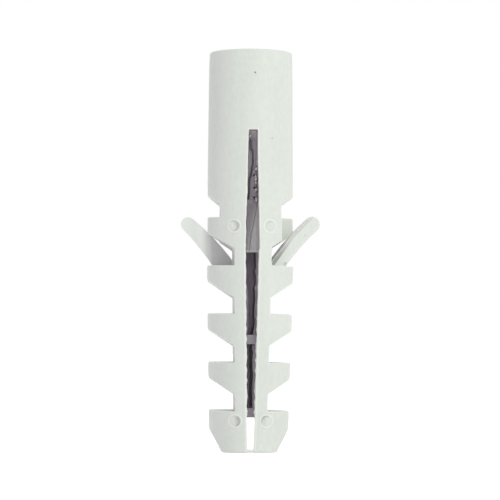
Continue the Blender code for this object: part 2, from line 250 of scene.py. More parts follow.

# %% [markdown]
# ## Shades that more than one finish needs
#
# All the pieces are the same nylon, but each is made a little differently, so
# their finishes share the same few effects. Each effect is a node group with
# named inputs, built once:
#
# - melt clouding: natural nylon is slightly uneven in colour, in streaks that
#   follow the flow of the melt along the plug;
# - mould polish: the steel was polished lengthwise, and its strokes and fine
#   pits are printed in the surface;
# - light and shade by depth: the thin wings get a painted light that makes
#   them paler than the body, and what lies deep in the body gets a darker,
#   faintly purple painted shade;
# - speck of dirt and shade: a spot of dirt or scorched material at one place, and at
#   some places a spot of painted shade;
# - slot lip highlight: a narrow, nearly white painted highlight along the slot's front
#   edges;
# - crescent: the dark sickle of painted shade on the deep side of an ejector mark.
#
# They read Object coordinates. A piece's object sits at the origin, so these
# are plain metres, and a spot's place can be written as it was measured.

# %% Helpers for node groups


def start_group(name, inputs, outputs):
    """Make an empty shader node group with the sockets that are named."""
    group = bpy.data.node_groups.new(name, "ShaderNodeTree")
    for label, kind, value in inputs:
        socket = group.interface.new_socket(label, in_out="INPUT", socket_type=kind)
        socket.default_value = value
    for label, kind in outputs:
        group.interface.new_socket(label, in_out="OUTPUT", socket_type=kind)
    source = group.nodes.new("NodeGroupInput")
    result = group.nodes.new("NodeGroupOutput")
    return group, source.outputs, result.inputs


def place_group(tree, group, values):
    """Place a node group, set its named inputs and give its outputs."""
    node = tree.nodes.new("ShaderNodeGroup")
    node.node_tree = group
    for label, value in values.items():
        set_input(tree, node.inputs[label], value)
    return node.outputs


def product(tree, first, *others):
    """Multiply any number of sockets by each other."""
    for other in others:
        first = add_math(tree, "MULTIPLY", first, other)
    return first


def add_mix(tree, factor, first, second, blend="MIX"):
    """Add a colour Mix node whose inputs are sockets or plain values."""
    node = tree.nodes.new("ShaderNodeMix")
    node.data_type = "RGBA"
    node.blend_type = blend
    set_input(tree, node.inputs[0], factor)
    set_input(tree, node.inputs[6], first)
    set_input(tree, node.inputs[7], second)
    return node.outputs[2]


def add_tint(tree, share, colour, tint):
    """Multiply a colour by a tint, as far as the share says."""
    return add_mix(tree, share, colour, add_mix(tree, 1.0, colour, tint, "MULTIPLY"))


def add_cover(tree, mask, strength, shown, colour):
    """Lay a colour over what is shown, as far as mask times strength."""
    return add_mix(tree, add_math(tree, "MULTIPLY", mask, strength), shown, colour)


def add_scale(tree, colour, factor):
    """Make a colour brighter or darker by a factor."""
    node = tree.nodes.new("ShaderNodeVectorMath")
    node.operation = "SCALE"
    tree.links.new(colour, node.inputs[0])
    tree.links.new(factor, node.inputs["Scale"])
    return node.outputs["Vector"]


def add_step(tree, value, zero_at, one_at, zero=0.0, one=1.0):
    """Smooth step: zero where the value is zero_at, one where it is one_at."""
    ramp = tree.nodes.new("ShaderNodeMapRange")
    ramp.interpolation_type = "SMOOTHSTEP"
    set_input(tree, ramp.inputs["Value"], value)
    set_input(tree, ramp.inputs["From Min"], zero_at)
    set_input(tree, ramp.inputs["From Max"], one_at)
    ramp.inputs["To Min"].default_value = zero
    ramp.inputs["To Max"].default_value = one
    return ramp.outputs[0]


def step_mm(tree, value, ends, zero=0.0, one=1.0):
    """The same smooth step, with its two ends given in millimetres."""
    return add_step(tree, value, ends[0] * MM, ends[1] * MM, zero, one)


def object_place(tree, stretch=(1.0, 1.0, 1.0)):
    """Give Object coordinates, stretched by a Mapping node where asked."""
    coords = tree.nodes.new("ShaderNodeTexCoord")
    if stretch == (1.0, 1.0, 1.0):
        return coords.outputs["Object"]
    mapping = tree.nodes.new("ShaderNodeMapping")
    mapping.inputs["Scale"].default_value = stretch
    tree.links.new(coords.outputs["Object"], mapping.inputs["Vector"])
    return mapping.outputs["Vector"]


def split_place(tree):
    """Give x, y and z of Object coordinates as three sockets."""
    split = tree.nodes.new("ShaderNodeSeparateXYZ")
    tree.links.new(object_place(tree), split.inputs[0])
    return split.outputs[0], split.outputs[1], split.outputs[2]


def add_noise(tree, place, scale, detail, roughness=0.5):
    """Add a Noise texture and give its height, about zero to one."""
    noise = tree.nodes.new("ShaderNodeTexNoise")
    tree.links.new(place, noise.inputs["Vector"])
    noise.inputs["Detail"].default_value = detail
    noise.inputs["Roughness"].default_value = roughness
    set_input(tree, noise.inputs["Scale"], scale)
    return noise.outputs["Fac"]


# %% [markdown]
# ## Clouds, polish, and specks of dirt and shade
#
# The melt clouding is a broad noise, stretched along the plug, that mixes two
# colours, and a fine one that makes the result a little brighter or darker.
# The mould's polish is only a height, for a Bump node. A speck is a ball
# round a place, so it marks the surface where the ball meets it; some specks
# are dirt, others painted shade.

# %% Effects: melt clouding, mould polish, speck of dirt and shade
CLOUD_RANGE = (0.38, 0.66)
CLOUD_STRETCH = (1.0, 1.0, 0.3)
GRAIN_STRETCH = (1.0, 1.0, 0.6)
STROKE_STRETCH = (1.0, 1.0, 0.06)
GRAIN_SCALE = 2300.0
PIT_SCALE = 3800.0
STROKE_SCALE = 5200.0


def melt_clouding():
    """Colour = base, mixed towards the streak colour by stretched noise."""
    group, source, result = start_group(
        "melt_clouding",
        [
            ("Colour", "NodeSocketColor", (0.78, 0.8, 0.76, 1.0)),
            ("Streak Colour", "NodeSocketColor", (0.7, 0.72, 0.68, 1.0)),
            ("Streaks per Metre", "NodeSocketFloat", 300.0),
            ("Amount", "NodeSocketFloat", 0.5),
            ("Grain", "NodeSocketFloat", 0.15),
        ],
        [("Colour", "NodeSocketColor")],
    )
    place = object_place(group, CLOUD_STRETCH)
    broad = add_noise(group, place, source["Streaks per Metre"], 3.0)
    spread = group.nodes.new("ShaderNodeMapRange")
    spread.inputs["From Min"].default_value = CLOUD_RANGE[0]
    spread.inputs["From Max"].default_value = CLOUD_RANGE[1]
    group.links.new(broad, spread.inputs["Value"])
    mixed = add_cover(
        group, spread.outputs[0], source["Amount"], source["Colour"],
        source["Streak Colour"],
    )
    fine = add_noise(group, object_place(group, GRAIN_STRETCH), GRAIN_SCALE, 3.0, 0.6)
    swing = add_math(group, "SUBTRACT", fine, 0.5)
    grain = add_math(group, "MULTIPLY_ADD", swing, source["Grain"], 1.0)
    group.links.new(add_scale(group, mixed, grain), result["Colour"])
    return group


def mould_polish():
    """Height = pits of fine noise plus strokes of noise drawn out lengthwise."""
    group, source, result = start_group(
        "mould_polish",
        [
            ("Pit Height", "NodeSocketFloat", 2e-6),
            ("Stroke Height", "NodeSocketFloat", 2e-6),
        ],
        [("Height", "NodeSocketFloat"), ("Pits", "NodeSocketFloat")],
    )
    pits = add_noise(group, object_place(group), PIT_SCALE, 3.0, 0.6)
    strokes = add_noise(group, object_place(group, STROKE_STRETCH), STROKE_SCALE, 2.0)
    fine = add_math(group, "MULTIPLY", pits, source["Pit Height"])
    long = add_math(group, "MULTIPLY", strokes, source["Stroke Height"])
    group.links.new(add_math(group, "ADD", fine, long), result["Height"])
    group.links.new(pits, result["Pits"])
    return group


def speck_of_dirt_and_shade():
    """Mask = one within the radius of a centre, falling off over the softness."""
    group, source, result = start_group(
        "speck_of_dirt_and_shade",
        [
            ("Centre", "NodeSocketVector", (0.0, 0.0, 0.0)),
            ("Radius", "NodeSocketFloat", 0.0001),
            ("Softness", "NodeSocketFloat", 0.0001),
        ],
        [("Mask", "NodeSocketFloat")],
    )
    gap = group.nodes.new("ShaderNodeVectorMath")
    gap.operation = "DISTANCE"
    group.links.new(object_place(group), gap.inputs[0])
    group.links.new(source["Centre"], gap.inputs[1])
    reach = add_math(group, "ADD", source["Radius"], source["Softness"])
    mask = add_step(group, gap.outputs["Value"], reach, source["Radius"])
    group.links.new(mask, result["Mask"])
    return group


MELT_CLOUDING = melt_clouding()
MOULD_POLISH = mould_polish()
DIRT_AND_SHADE_MASK = speck_of_dirt_and_shade()
print("made:", [group.name for group in (MELT_CLOUDING, MOULD_POLISH, DIRT_AND_SHADE_MASK)])

# %% [markdown]
# ## Painted light and shade by depth
#
# The depth of a place is how far it lies inside the turned outside. Deep
# places get a painted shade, the thin wings a painted light, and parts of the
# two wings their own painted light and shade. Every boundary below is a
# smooth step between two places in millimetres: the mask is zero at the first
# and one at the second. Boxes are products of such steps, and the two wings
# are found by their boxes.

# %% Effect: painted light and shade by depth
# where the painted light and shade fall: by depth, and on the two wings
TINT_RADIUS = 5.36 * MM
THIN_DEPTHS = (0.2, -0.8)
DEEP_DEPTHS = ((0.3, 1.6), (2.4, 3.6))
THINNER_LEFT = (5.0, 0.0)
THICK_WING_SHARE = 0.35
BELOW_RIM = (49.8, 49.2)
OFF_LIT_SIDE = (3.6, 3.0)
LIT_SIDE_SHARE = 0.2
WING_FOOT = (23.1, 23.3)
WING_TOP = (32.0, 31.0)
RIGHT_WING_ACROSS = (2.4, 2.7)
RIGHT_WING_FRONT = (-3.50, -3.42)
RIGHT_WING_BACK = (0.40, 0.30)
LEFT_WING_ACROSS = (-2.4, -2.7)
LEFT_WING_FRONT = (-0.15, -0.05)
LEFT_WING_BACK = (3.35, 3.25)
FLANK_ACROSS = (1.6, 2.6)
FLANK_BACK = (0.5, 2.5)
MOUTH_HEIGHTS = (41.0, 43.0)
BEND_START = (-7.2, -6.0)
BEND_END = (-4.7, -5.2)
BEND_PAINTED_LIGHT_GAIN = 0.14
ROOT_ACROSS = (-5.9, -4.6)
STRIP_LINES = ((1.43, 19.05), (1.04, 21.14))
STRIP_START = (0.0, 0.08)
STRIP_END = (1.8, 1.5)
STRIP_FACING = (-3.13, -3.17)
STRIP_FOOT = (26.4, 24.0)
POCKET_FRONT = (-0.10, -0.02)
POCKET_ACROSS = (3.5, 3.6)


def light_and_shade_by_depth():
    """Colour by depth = turned radius - sqrt(x^2 + y^2).

    Outside the body it goes to the thin colour, a painted light, less so on
    the right, whose wing is thicker. Deep inside it is multiplied by the deep
    painted shade, and once more beyond half of the radius. Between the teeth,
    at the back and in the mouth the painted shade is the weaker one of the
    flanks. The flat rim is left alone, and so are the wings, which lie in
    opposite halves. The left wing gets a painted light half way, and a
    painted shadow at its root. On the right wing, the part with
    z > min(1.43 x + 19.05, 1.04 x + 21.14), in mm, is the side turned to the
    body: a grey strip of painted shade in front, darker towards the foot, and
    a paler painted light behind it. The pocket that the wing folds into gets
    a painted light of its own too.
    """
    group, source, result = start_group(
        "light_and_shade_by_depth",
        [
            ("Colour", "NodeSocketColor", (0.78, 0.8, 0.76, 1.0)),
            ("Thin Painted Light", "NodeSocketColor", (0.83, 0.86, 0.83, 1.0)),
            ("Deep Painted Shade", "NodeSocketColor", (0.88, 0.77, 0.90, 1.0)),
            ("Root Painted Shadow", "NodeSocketColor", (0.86, 0.81, 0.87, 1.0)),
            ("Flank Painted Shade", "NodeSocketColor", (0.905, 0.893, 0.905, 1.0)),
            ("Inner Painted Light", "NodeSocketColor", (0.875, 0.865, 0.855, 1.0)),
            ("Pocket Painted Light", "NodeSocketColor", (0.785, 0.803, 0.770, 1.0)),
            ("Strip Painted Shade", "NodeSocketColor", (0.80, 0.77, 0.79, 1.0)),
            ("Strip Foot Painted Shade", "NodeSocketColor", (0.48, 0.44, 0.48, 1.0)),
        ],
        [("Colour", "NodeSocketColor")],
    )
    x, y, z = split_place(group)
    across = add_math(group, "MULTIPLY", x, x)
    around = add_math(group, "SQRT", add_math(group, "MULTIPLY_ADD", y, y, across))
    depth = add_math(group, "SUBTRACT", TINT_RADIUS, around)
    band = product(group, step_mm(group, z, WING_FOOT), step_mm(group, z, WING_TOP))
    right_wing = product(
        group, band, step_mm(group, x, RIGHT_WING_ACROSS),
        step_mm(group, y, RIGHT_WING_FRONT), step_mm(group, y, RIGHT_WING_BACK),
    )
    left_wing = product(
        group, band, step_mm(group, x, LEFT_WING_ACROSS),
        step_mm(group, y, LEFT_WING_FRONT), step_mm(group, y, LEFT_WING_BACK),
    )
    wings = add_math(group, "ADD", right_wing, left_wing)

    # painted shade deep inside, and the weaker one on the flanks, at the back and in
    # the mouth
    kept = product(
        group, step_mm(group, z, BELOW_RIM),
        step_mm(group, x, OFF_LIT_SIDE, LIT_SIDE_SHARE, 1.0),
        add_math(group, "SUBTRACT", 1.0, wings),
    )
    outside = step_mm(group, add_math(group, "ABSOLUTE", x), FLANK_ACROSS)
    outside = add_math(group, "MAXIMUM", outside, step_mm(group, y, FLANK_BACK))
    outside = add_math(group, "MAXIMUM", outside, step_mm(group, z, MOUTH_HEIGHTS))
    tint = add_mix(group, outside, source["Deep Painted Shade"], source["Flank Painted Shade"])
    shown = source["Colour"]
    for depths in DEEP_DEPTHS:
        deep = product(group, step_mm(group, depth, depths), kept)
        shown = add_tint(group, deep, shown, tint)

    # painted light on the thin wings and at the left one's bend, painted shadow at its
    # root
    thin = product(
        group, step_mm(group, depth, THIN_DEPTHS),
        step_mm(group, x, THINNER_LEFT, THICK_WING_SHARE, 1.0),
    )
    shown = add_mix(group, thin, shown, source["Thin Painted Light"])
    bend = product(
        group, step_mm(group, x, BEND_START), step_mm(group, x, BEND_END), left_wing
    )
    gain = add_math(group, "MULTIPLY_ADD", bend, BEND_PAINTED_LIGHT_GAIN, 1.0)
    shown = add_scale(group, shown, gain)
    root = product(group, left_wing, step_mm(group, x, ROOT_ACROSS))
    shown = add_tint(group, root, shown, source["Root Painted Shadow"])

    # painted shade on the strip in front of the right wing's side towards the body,
    # painted light on that side behind it and in the pocket
    lines = [
        add_math(group, "MULTIPLY_ADD", x, slope, foot * MM)
        for slope, foot in STRIP_LINES
    ]
    beyond = add_math(group, "SUBTRACT", z, add_math(group, "MINIMUM", *lines))
    inner = product(
        group, step_mm(group, beyond, STRIP_START), step_mm(group, beyond, STRIP_END),
        right_wing,
    )
    tint = add_mix(
        group, step_mm(group, z, STRIP_FOOT), source["Strip Painted Shade"],
        source["Strip Foot Painted Shade"],
    )
    strip = add_mix(group, 1.0, shown, tint, "MULTIPLY")
    strip = add_mix(
        group, step_mm(group, y, STRIP_FACING), source["Inner Painted Light"], strip
    )
    shown = add_mix(group, inner, shown, strip)
    pocket = product(
        group, step_mm(group, y, POCKET_FRONT), step_mm(group, x, POCKET_ACROSS),
        right_wing,
    )
    shown = add_mix(group, pocket, shown, source["Pocket Painted Light"])
    group.links.new(shown, result["Colour"])
    return group


LIGHT_AND_SHADE_BY_DEPTH = light_and_shade_by_depth()
print("made:", LIGHT_AND_SHADE_BY_DEPTH.name, "with", len(LIGHT_AND_SHADE_BY_DEPTH.nodes), "nodes")

# %% [markdown]
# ## Painted highlights on the lips and painted shade in the marks
#
# Two more masks belong to the front alone. The slot's front edges get a
# narrow, nearly white painted highlight. Each ejector mark is a shallow cup,
# and the side of it that faces away from the light gets a painted shade,
# darker than its depth alone would make it.

# %% Effects: slot lip highlight, and crescent of painted shade
LIP_BEND = 25.15 * MM
LIP_SHARES = (1.0, 0.35)
LIP_FRONT = (-4.9, -5.0)
LIP_TOP = (40.25, 40.05)
CRESCENT_SHARES = (1.0, 0.3)
CRESCENT_TURN = (0.0, 0.75)
CRESCENT_FRONT = (-3.2, -3.6)


def slot_lip_highlight():
    """Mask of a narrow pale band along the slot's two front edges.

    The edge's x is a straight line in z above the bore's foot and another
    one below it. The band, a painted highlight, fades with the distance from
    the edge.
    """
    group, source, result = start_group(
        "slot_lip_highlight",
        [
            ("Foot X", "NodeSocketFloat", 0.0),
            ("Upper Slope", "NodeSocketFloat", 0.0),
            ("Lower Slope", "NodeSocketFloat", 0.0),
            ("Band", "NodeSocketFloat", 0.00014),
        ],
        [("Mask", "NodeSocketFloat")],
    )
    x, y, z = split_place(group)
    rise = add_math(group, "SUBTRACT", z, LIP_BEND)
    above = add_math(group, "MAXIMUM", rise, 0.0)
    below = add_math(group, "MINIMUM", rise, 0.0)
    edge = add_math(
        group, "MULTIPLY_ADD", above, source["Upper Slope"], source["Foot X"]
    )
    edge = add_math(group, "MULTIPLY_ADD", below, source["Lower Slope"], edge)
    off = add_math(group, "ABSOLUTE", add_math(group, "SUBTRACT", x, edge))
    near = add_step(group, add_math(group, "DIVIDE", off, source["Band"]), *LIP_SHARES)
    mask = product(
        group, near, step_mm(group, y, LIP_FRONT), step_mm(group, z, LIP_TOP)
    )
    group.links.new(mask, result["Mask"])
    return group


def crescent():
    """Mask of a sickle: near a circle's line, on the side of a direction.

    Distance to the line fades it over the width, and so does the cosine of
    the angle between the place and the direction, seen from the centre. The
    sickle is a painted shade.
    """
    group, source, result = start_group(
        "crescent",
        [
            ("Centre X", "NodeSocketFloat", 0.0),
            ("Centre Z", "NodeSocketFloat", 0.0),
            ("Direction X", "NodeSocketFloat", 1.0),
            ("Direction Z", "NodeSocketFloat", 0.0),
            ("Radius", "NodeSocketFloat", 0.0006),
            ("Width", "NodeSocketFloat", 0.0002),
        ],
        [("Mask", "NodeSocketFloat")],
    )
    x, y, z = split_place(group)
    right = add_math(group, "SUBTRACT", x, source["Centre X"])
    up = add_math(group, "SUBTRACT", z, source["Centre Z"])
    square = add_math(group, "MULTIPLY", right, right)
    away = add_math(group, "SQRT", add_math(group, "MULTIPLY_ADD", up, up, square))
    off = add_math(group, "SUBTRACT", away, source["Radius"])
    off = add_math(group, "ABSOLUTE", off)
    share = add_math(group, "DIVIDE", off, source["Width"])
    near = add_step(group, share, *CRESCENT_SHARES)
    towards = add_math(group, "MULTIPLY", right, source["Direction X"])
    towards = add_math(group, "MULTIPLY_ADD", up, source["Direction Z"], towards)
    facing = add_step(group, add_math(group, "DIVIDE", towards, away), *CRESCENT_TURN)
    mask = product(group, near, facing, step_mm(group, y, CRESCENT_FRONT))
    group.links.new(mask, result["Mask"])
    return group


SLOT_LIP_HIGHLIGHT = slot_lip_highlight()
CRESCENT = crescent()
print("effects:", [group.name for group in bpy.data.node_groups])

# %% [markdown]
# ## The finishes
#
# Six finishes use those effects. The moulding itself is near-white with a
# faint green cast, satin where the mould was polished, with the specks that
# the photograph shows, and with painted shade at the right wing's foot and
# over the upper tie. Its rounded edges get a paler painted highlight. The
# thin films in the slot were torn, so they are rougher, and their darker,
# purple-grey colour is painted shade, darkest on the films further back, with
# spots of painted shadow along the crack. The land below them is smoother,
# and its grey is painted shade too. The burrs are shiny, because they were
# drawn out thin against the steel, and the crumbs whitest.

# %% Finishes
NYLON = (0.770, 0.810, 0.755, 1.0)
NYLON_STREAK = (0.728, 0.771, 0.714, 1.0)
# paler for the thin wings: a painted light
NYLON_THIN_PAINTED_LIGHT = (0.835, 0.872, 0.828, 1.0)
# the crumbs' pale streaks, and the painted highlight on rounded edges
NYLON_PALE_AND_HIGHLIGHT = (0.88, 0.905, 0.87, 1.0)
NYLON_BURR = (0.85, 0.88, 0.84, 1.0)
NYLON_CRUMB = (0.94, 0.93, 0.93, 1.0)
# a nearly white painted highlight for the slot's lips
NYLON_LIP_HIGHLIGHT = (0.92, 0.955, 0.88, 1.0)
# darker, purple-grey copies of the nylon: painted shade for the films and the land in
# the slot, darkest on what lies furthest back
NYLON_FILM_SHADE = (0.71, 0.67, 0.71, 1.0)
NYLON_FILM_SHADE_STREAK = (0.58, 0.54, 0.59, 1.0)
NYLON_LAND_SHADE = (0.69, 0.685, 0.68, 1.0)
NYLON_LAND_SHADE_STREAK = (0.62, 0.61, 0.61, 1.0)
NYLON_BACK_FILM_SHADE = (0.60, 0.54, 0.61, 1.0)
NYLON_BACK_SHADE_STREAK = (0.52, 0.47, 0.54, 1.0)
NYLON_SHADE = (0.30, 0.26, 0.30, 1.0)
DIRT_AND_SHADE_SPOTS = (
    # x, y, z, radius and softness in mm, colour, strength
    (0.30, -5.20, 47.02, 0.05, 0.12, (0.20, 0.14, 0.13, 1.0), 0.85),
    (-2.61, -4.50, 46.29, 0.04, 0.14, (0.45, 0.44, 0.44, 1.0), 0.35),
    (2.47, -4.65, 38.93, 0.05, 0.15, (0.50, 0.42, 0.34, 1.0), 0.45),
    (6.67, -3.30, 26.96, 0.05, 0.12, (0.45, 0.42, 0.38, 1.0), 0.4),
    # painted shade in the corner at the right wing's foot
    (4.33, -3.32, 23.35, 0.12, 0.26, (0.34, 0.30, 0.34, 1.0), 0.7),
    # painted shade over the upper tie, deep in the slot
    (0.08, -4.20, 13.98, 0.95, 0.15, (0.34, 0.31, 0.35, 1.0), 0.9),
)
# near-black spots of painted shadow along the film's crack
PAINTED_CRACK_SHADOWS = (
    (0.36, -1.92, 34.46, 0.12, 0.08, (0.05, 0.04, 0.05, 1.0), 0.95),
    (0.44, -1.62, 32.94, 0.14, 0.08, (0.05, 0.04, 0.05, 1.0), 0.95),
    (0.26, -1.62, 33.00, 0.06, 0.10, (0.10, 0.08, 0.10, 1.0), 0.9),
    (0.10, -1.40, 31.90, 0.02, 0.08, (0.18, 0.16, 0.18, 1.0), 0.8),
    (0.24, -1.40, 31.84, 0.04, 0.07, (0.10, 0.08, 0.10, 1.0), 0.9),
    (0.37, -1.39, 31.78, 0.08, 0.07, (0.06, 0.05, 0.06, 1.0), 0.95),
    (0.49, -1.39, 31.70, 0.12, 0.07, (0.05, 0.04, 0.05, 1.0), 0.95),
    (0.60, -1.38, 31.68, 0.04, 0.07, (0.08, 0.06, 0.08, 1.0), 0.9),
)
# painted highlights along the slot's two front edges
LIP_HIGHLIGHT_LINES = (
    # x at the bend in mm, slope above it, slope below it, strength
    (-0.89, 0.0277, -0.0113, 0.75),
    (1.07, -0.0182, 0.0209, 0.45),
)
MARKS = (
    # x and z in mm, angle and strength of the crescent's painted shade, size of the
    # burr
    (-2.24, 28.00, -15.0, 0.33, 1.0),
    (2.30, 28.00, 165.0, 0.06, 0.3),
    (-1.97, 3.93, -8.0, 0.40, 1.0),
    (1.89, 3.93, 125.0, 0.28, 0.7),
)
CRESCENT_RADIUS = 0.59 * MM
CRESCENT_WIDTH = 0.17 * MM
EDGE_HIGHLIGHT_SHARE = 0.8
PIT_GLOSS = 0.16
NYLON_IOR = 1.53
NYLON_SPECULAR = 0.35


def front_effects(tree, shown):
    """Add the slot's pale lips and the sickles in the four marks."""
    # painted highlights along the slot's lips, then painted shade in the four marks
    for foot, upper, lower, strength in LIP_HIGHLIGHT_LINES:
        lip = place_group(tree, SLOT_LIP_HIGHLIGHT, {
            "Foot X": foot * MM, "Upper Slope": upper, "Lower Slope": lower,
        })
        shown = add_cover(tree, lip["Mask"], strength, shown, NYLON_LIP_HIGHLIGHT)
    for x, z, angle, strength, _size in MARKS:
        sickle = place_group(tree, CRESCENT, {
            "Centre X": x * MM, "Centre Z": z * MM,
            "Direction X": math.cos(math.radians(angle)),
            "Direction Z": math.sin(math.radians(angle)),
            "Radius": CRESCENT_RADIUS, "Width": CRESCENT_WIDTH,
        })
        shown = add_cover(tree, sickle["Mask"], strength, shown, NYLON_SHADE)
    return shown


def nylon_finish(name, colour, streak, clouding, pit, stroke, roughness, spots_of_dirt_and_shade=(),
                 edge=None, body=False):
    """Build one nylon material from the shared effects.

    Clouding is the share of the streaks, pit and stroke are heights in metres.
    The spots are specks of dirt and spots of painted shade. The edge colour
    is a painted highlight. The body's own finish also has the painted light
    and shade by depth, the painted highlights on the lips and the painted
    shade of the crescents.
    """
    material = bpy.data.materials.new(name)
    material.use_nodes = True
    tree = material.node_tree
    shader = tree.nodes["Principled BSDF"]
    shown = place_group(tree, MELT_CLOUDING, {
        "Colour": colour, "Streak Colour": streak, "Amount": clouding,
    })["Colour"]
    if body:
        shown = place_group(tree, LIGHT_AND_SHADE_BY_DEPTH, {
            "Colour": shown, "Thin Painted Light": NYLON_THIN_PAINTED_LIGHT,
        })["Colour"]
    # painted highlight on the marked edge faces, and painted light on the land
    if edge is not None:
        painted_light_node = tree.nodes.new("ShaderNodeAttribute")
        painted_light_node.attribute_name = "painted_light_share"
        shown = add_cover(tree, painted_light_node.outputs["Fac"], EDGE_HIGHLIGHT_SHARE, shown, edge)
    # specks of dirt, and spots of painted shade
    for x, y, z, radius, softness, spot_colour, strength in spots_of_dirt_and_shade:
        spot = place_group(tree, DIRT_AND_SHADE_MASK, {
            "Centre": (x * MM, y * MM, z * MM),
            "Radius": radius * MM, "Softness": softness * MM,
        })
        shown = add_cover(tree, spot["Mask"], strength, shown, spot_colour)
    if body:
        shown = front_effects(tree, shown)
    tree.links.new(shown, shader.inputs["Base Color"])
    polish = place_group(tree, MOULD_POLISH, {
        "Pit Height": pit, "Stroke Height": stroke,
    })
    bump = tree.nodes.new("ShaderNodeBump")
    bump.inputs["Distance"].default_value = 1.0
    tree.links.new(polish["Height"], bump.inputs["Height"])
    tree.links.new(bump.outputs["Normal"], shader.inputs["Normal"])
    gloss = add_math(
        tree, "MULTIPLY_ADD", polish["Pits"], PIT_GLOSS, roughness - 0.5 * PIT_GLOSS
    )
    tree.links.new(gloss, shader.inputs["Roughness"])
    shader.inputs["IOR"].default_value = NYLON_IOR
    shader.inputs["Specular IOR Level"].default_value = NYLON_SPECULAR
    return material


MOULDED = nylon_finish(
    "nylon_moulded", NYLON, NYLON_STREAK, clouding=0.8, pit=3.0e-6, stroke=2.0e-6,
    roughness=0.45, spots_of_dirt_and_shade=DIRT_AND_SHADE_SPOTS, edge=NYLON_PALE_AND_HIGHLIGHT, body=True,
)
TORN = nylon_finish(
    "nylon_torn_film", NYLON_FILM_SHADE, NYLON_FILM_SHADE_STREAK, clouding=0.9, pit=9.0e-6,
    stroke=2.0e-6, roughness=0.55, spots_of_dirt_and_shade=PAINTED_CRACK_SHADOWS, edge=NYLON_PALE_AND_HIGHLIGHT,
)
LAND = nylon_finish(
    "nylon_land", NYLON_LAND_SHADE, NYLON_LAND_SHADE_STREAK, clouding=0.9, pit=6.0e-6,
    stroke=2.0e-6, roughness=0.5, edge=NYLON_PALE_AND_HIGHLIGHT,
)
BACK_SHADE_FINISH = nylon_finish(
    "nylon_back_shade", NYLON_BACK_FILM_SHADE, NYLON_BACK_SHADE_STREAK, clouding=0.9, pit=6.0e-6,
    stroke=2.0e-6, roughness=0.55,
)
BURRED = nylon_finish(
    "nylon_burr", NYLON_BURR, NYLON, clouding=0.5, pit=4.0e-6, stroke=0.0,
    roughness=0.38,
)
CRUMBLED = nylon_finish(
    "nylon_crumb", NYLON_CRUMB, NYLON_PALE_AND_HIGHLIGHT, clouding=0.5, pit=6.0e-6, stroke=0.0,
    roughness=0.5,
)
FINISHES = (MOULDED, TORN, LAND, BACK_SHADE_FINISH, BURRED, CRUMBLED)
print("finishes:", [finish.name for finish in FINISHES])

# %% [markdown]
# ## The moulding, with its edges rounded
#
# No moulded edge is sharp: the cutter that made the steel had a radius, and
# the melt does not fill the last tenth of a millimetre. The imported solid has
# sharp edges, so a copy of it is rounded here and shown in its place, while
# the solid itself stays as it is, hidden. The imported solid has sharp edges,
# so a copy of it is rounded here and shown in its place, while the solid
# itself stays as it is for touching and counting.
#
# A solid's mesh is loose triangles. The copy is merged first, its flat faces
# are made whole again, and only then are the edges that turn by more than 28
# degrees cut back by eight hundredths of a millimetre in two steps. The new
# faces are marked, so the finish can give them a paler painted highlight. The
# ejector marks are left out, because their pins are turned sharp and print a
# crisp edge.

# %% Round the moulding's edges
SAME_PLACE = 0.002 * MM
FLAT_ANGLE = math.radians(0.4)
SLIVER = 0.06 * MM
EDGE_ANGLE = math.radians(28.0)
EDGE_CUT = 0.08 * MM
EDGE_STEPS = 2
MARK_REACH = 0.74 * MM
MARK_FRONT = -3.6 * MM


def in_a_mark(edge):
    """True for an edge of one of the four shallow marks in the front."""
    middle = (edge.verts[0].co + edge.verts[1].co) / 2
    return middle.y < MARK_FRONT and any(
        math.hypot(middle.x - mark[0] * MM, middle.z - mark[1] * MM) < MARK_REACH
        for mark in MARKS
    )


def rounded_copy(node, name):
    """Merge a copy of a node's mesh and round each edge that turns sharply."""
    bm = bmesh.new()
    bm.from_mesh(node.data)
    mark = bm.faces.layers.float.new("painted_light_share")
    bmesh.ops.remove_doubles(bm, verts=bm.verts[:], dist=SAME_PLACE)
    bmesh.ops.dissolve_limit(
        bm, angle_limit=FLAT_ANGLE, verts=bm.verts[:], edges=bm.edges[:]
    )
    bmesh.ops.remove_doubles(bm, verts=bm.verts[:], dist=SLIVER)
    bmesh.ops.dissolve_degenerate(bm, edges=bm.edges[:], dist=0.5 * SLIVER)
    sharp = [
        edge for edge in bm.edges
        if len(edge.link_faces) == 2 and edge.calc_face_angle() > EDGE_ANGLE
        and not in_a_mark(edge)
    ]
    made = bmesh.ops.bevel(
        bm, geom=sharp, offset=EDGE_CUT, offset_type="OFFSET", segments=EDGE_STEPS,
        profile=0.5, affect="EDGES", clamp_overlap=False, loop_slide=True,
        miter_outer="SHARP",
    )
    # the new faces carry the painted highlight
    for face in made["faces"]:
        face[mark] = 1.0
    mesh = bpy.data.meshes.new(name)
    bm.to_mesh(mesh)
    bm.free()
    mesh.shade_smooth()
    piece = bpy.data.objects.new(name, mesh)
    scene.collection.objects.link(piece)
    even = piece.modifiers.new("even_flats", "WEIGHTED_NORMAL")
    even.mode = "FACE_AREA"
    even.weight = 50
    even.keep_sharp = False
    return piece


def finish_piece(piece, material):
    """Give a piece its finish and hang it on the plug's one body."""
    piece.data.materials.clear()
    piece.data.materials.append(material)
    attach(piece, "root")
    print(piece.name, "has", len(piece.data.vertices), "points")


moulding = rounded_copy(cad_plug, "plug_moulding")
finish_piece(moulding, MOULDED)
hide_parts("plug_body")

# %% [markdown]
# ## Where the plug's outside is
#
# The small pieces that follow lie on the plug's outside, so each needs to
# know where that is. The outside is turned: its radius grows evenly from the
# mouth to the collar's foot and on to the widest place, then shrinks to the
# tip. Below the slot's middle the two halves lean together, so a place on a
# half is first moved back to where it was moulded. These are the same sizes
# that the solid was made from.

